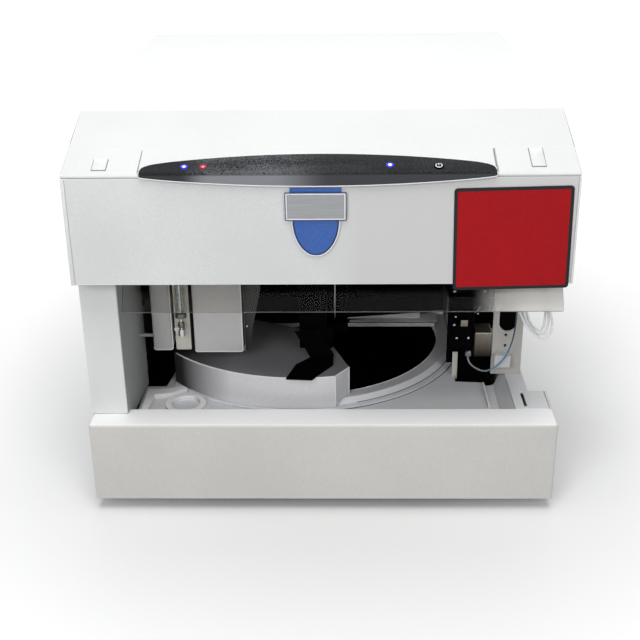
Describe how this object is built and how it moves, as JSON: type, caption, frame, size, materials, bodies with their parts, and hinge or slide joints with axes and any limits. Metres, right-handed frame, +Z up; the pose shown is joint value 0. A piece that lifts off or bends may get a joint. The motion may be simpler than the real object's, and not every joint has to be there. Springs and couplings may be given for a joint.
{
  "type": "chromatography autosampler",
  "caption": "Bench-top autosampler case with a swing-up smoked window, half-covered sample carousel, needle arm, syringe and injection valve.",
  "frame": {"origin": "on the bench, under the middle of the case's box", "axes": "+Z up, +Y from the front to the back, +X to the right of someone who faces the front"},
  "size_m": [0.428, 0.516, 0.36],
  "materials": {
    "case_grey": "light grey, fine satin paint",
    "case_plastic": "light grey moulded front, satin",
    "inner_grey": "mid grey moulded plastic",
    "black_plastic": "black, satin",
    "gloss_black": "near-black, glossy",
    "black_sheet": "black painted sheet metal",
    "sheet_metal": "plain sheet steel",
    "steel": "polished stainless steel",
    "rubber_black": "black rubber",
    "badge_blue": "mid blue, smooth",
    "badge_silver": "brushed, bare",
    "card_red": "red printed card with a black edge",
    "smoked": "smoked clear acrylic",
    "lamp_blue": "lit blue lamp",
    "lamp_red": "lit red lamp",
    "lamp_off": "unlit lamp",
    "clear_glass": "clear glass",
    "tube_white": "white fluoropolymer tube",
    "tube_teal": "light grey to dark blue tube",
    "white_plastic": "white, satin"
  },
  "bodies": {
    "case": {"arm_column": "black_sheet", "badge_plate": "badge_silver", "badge_tongue": "badge_blue", "base_pan": "sheet_metal", "capillary": "tube_teal", "carousel_cover": "inner_grey", "carousel_spindle": "steel", "chamber_bowl": "inner_grey", "chamber_rim": "inner_grey", "drain_tube_front": "tube_white", "drain_tube_middle": "tube_white", "drain_tube_rear": "tube_white", "fan_frame": "black_plastic", "floor_tray": "inner_grey", "foot_front_left": "rubber_black", "foot_front_right": "rubber_black", "foot_rear_left": "rubber_black", "foot_rear_right": "rubber_black", "heater_block": "sheet_metal", "lamp_alarm": "lamp_red", "lamp_link": "lamp_blue", "lamp_motion": "lamp_off", "lamp_temperature": "lamp_blue", "left_inner_wall": "case_grey", "left_post": "case_plastic", "left_side_panel": "case_grey", "lower_front_panel": "case_plastic", "notice_card": "card_red", "power_inlet": "black_plastic", "rear_bulkhead": "black_sheet", "rear_deck": "inner_grey", "rear_panel": "case_grey", "right_side_panel": "case_grey", "right_sill": "inner_grey", "sensor_block": "white_plastic", "status_bar": "gloss_black", "syringe_barrel": "clear_glass", "syringe_bracket": "inner_grey", "syringe_housing_left": "inner_grey", "syringe_housing_right": "inner_grey", "top_cover": "case_grey", "tube_manifold": "case_plastic", "tubing_plate": "inner_grey", "upper_fascia": "case_plastic", "valve_body": "black_plastic", "valve_bracket": "black_sheet", "valve_drive": "sheet_metal"},
    "window": {"window_pane": "smoked", "window_arm_left": "black_sheet", "window_arm_right": "black_sheet"},
    "button": {"power_button": "white_plastic"},
    "sample_carousel": {"carousel": "black_plastic"},
    "arm": {"needle_arm": "black_plastic"},
    "carriage": {"needle_carriage": "black_plastic", "needle": "steel"},
    "plunger": {"syringe_plunger": "steel"},
    "clip": {"transport_clip": "black_sheet"},
    "rotor": {"valve_rotor": "steel"},
    "rocker": {"rocker_switch": "black_plastic"},
    "fan": {"fan_rotor": "black_plastic"}
  },
  "joints": [
    {"name": "window_swing", "type": "hinge", "parent": "case", "child": "window", "pos_m": [0, -0.055, 0.19], "axis": [1, 0, 0], "range_deg": [0, 32.3]},
    {"name": "power_button_press", "type": "slide", "parent": "case", "child": "button", "axis": [0, 0.3415, -0.9399], "range_m": [0, 0.0008], "stiffness_N_per_m": 400},
    {"name": "carousel_spin", "type": "hinge", "parent": "case", "child": "sample_carousel", "pos_m": [-0.023, -0.043, 0.03], "axis": [0, 0, 1], "continuous": true},
    {"name": "arm_swing", "type": "hinge", "parent": "case", "child": "arm", "pos_m": [0, 0.015, 0.09], "axis": [0, 0, 1], "range_deg": [-10, 30]},
    {"name": "needle_lift", "type": "slide", "parent": "arm", "child": "carriage", "axis": [0, 0, -1], "range_m": [0, 0.05]},
    {"name": "plunger_pull", "type": "slide", "parent": "case", "child": "plunger", "axis": [0, 0, -1], "range_m": [0, 0.025]},
    {"name": "clip_lift_off", "type": "slide", "parent": "case", "child": "clip", "axis": [0, 0, 1], "range_m": [0, 0.05]},
    {"name": "valve_turn", "type": "hinge", "parent": "case", "child": "rotor", "pos_m": [0.1352, -0.127, 0.14], "axis": [0, 1, 0], "range_deg": [0, 60]},
    {"name": "rocker_tilt", "type": "hinge", "parent": "case", "child": "rocker", "pos_m": [-0.13, 0.254, 0.102], "axis": [1, 0, 0], "range_deg": [-16, 0]},
    {"name": "fan_spin", "type": "hinge", "parent": "case", "child": "fan", "pos_m": [0.1, 0.235, 0.24], "axis": [0, 1, 0], "continuous": true}
  ]
}
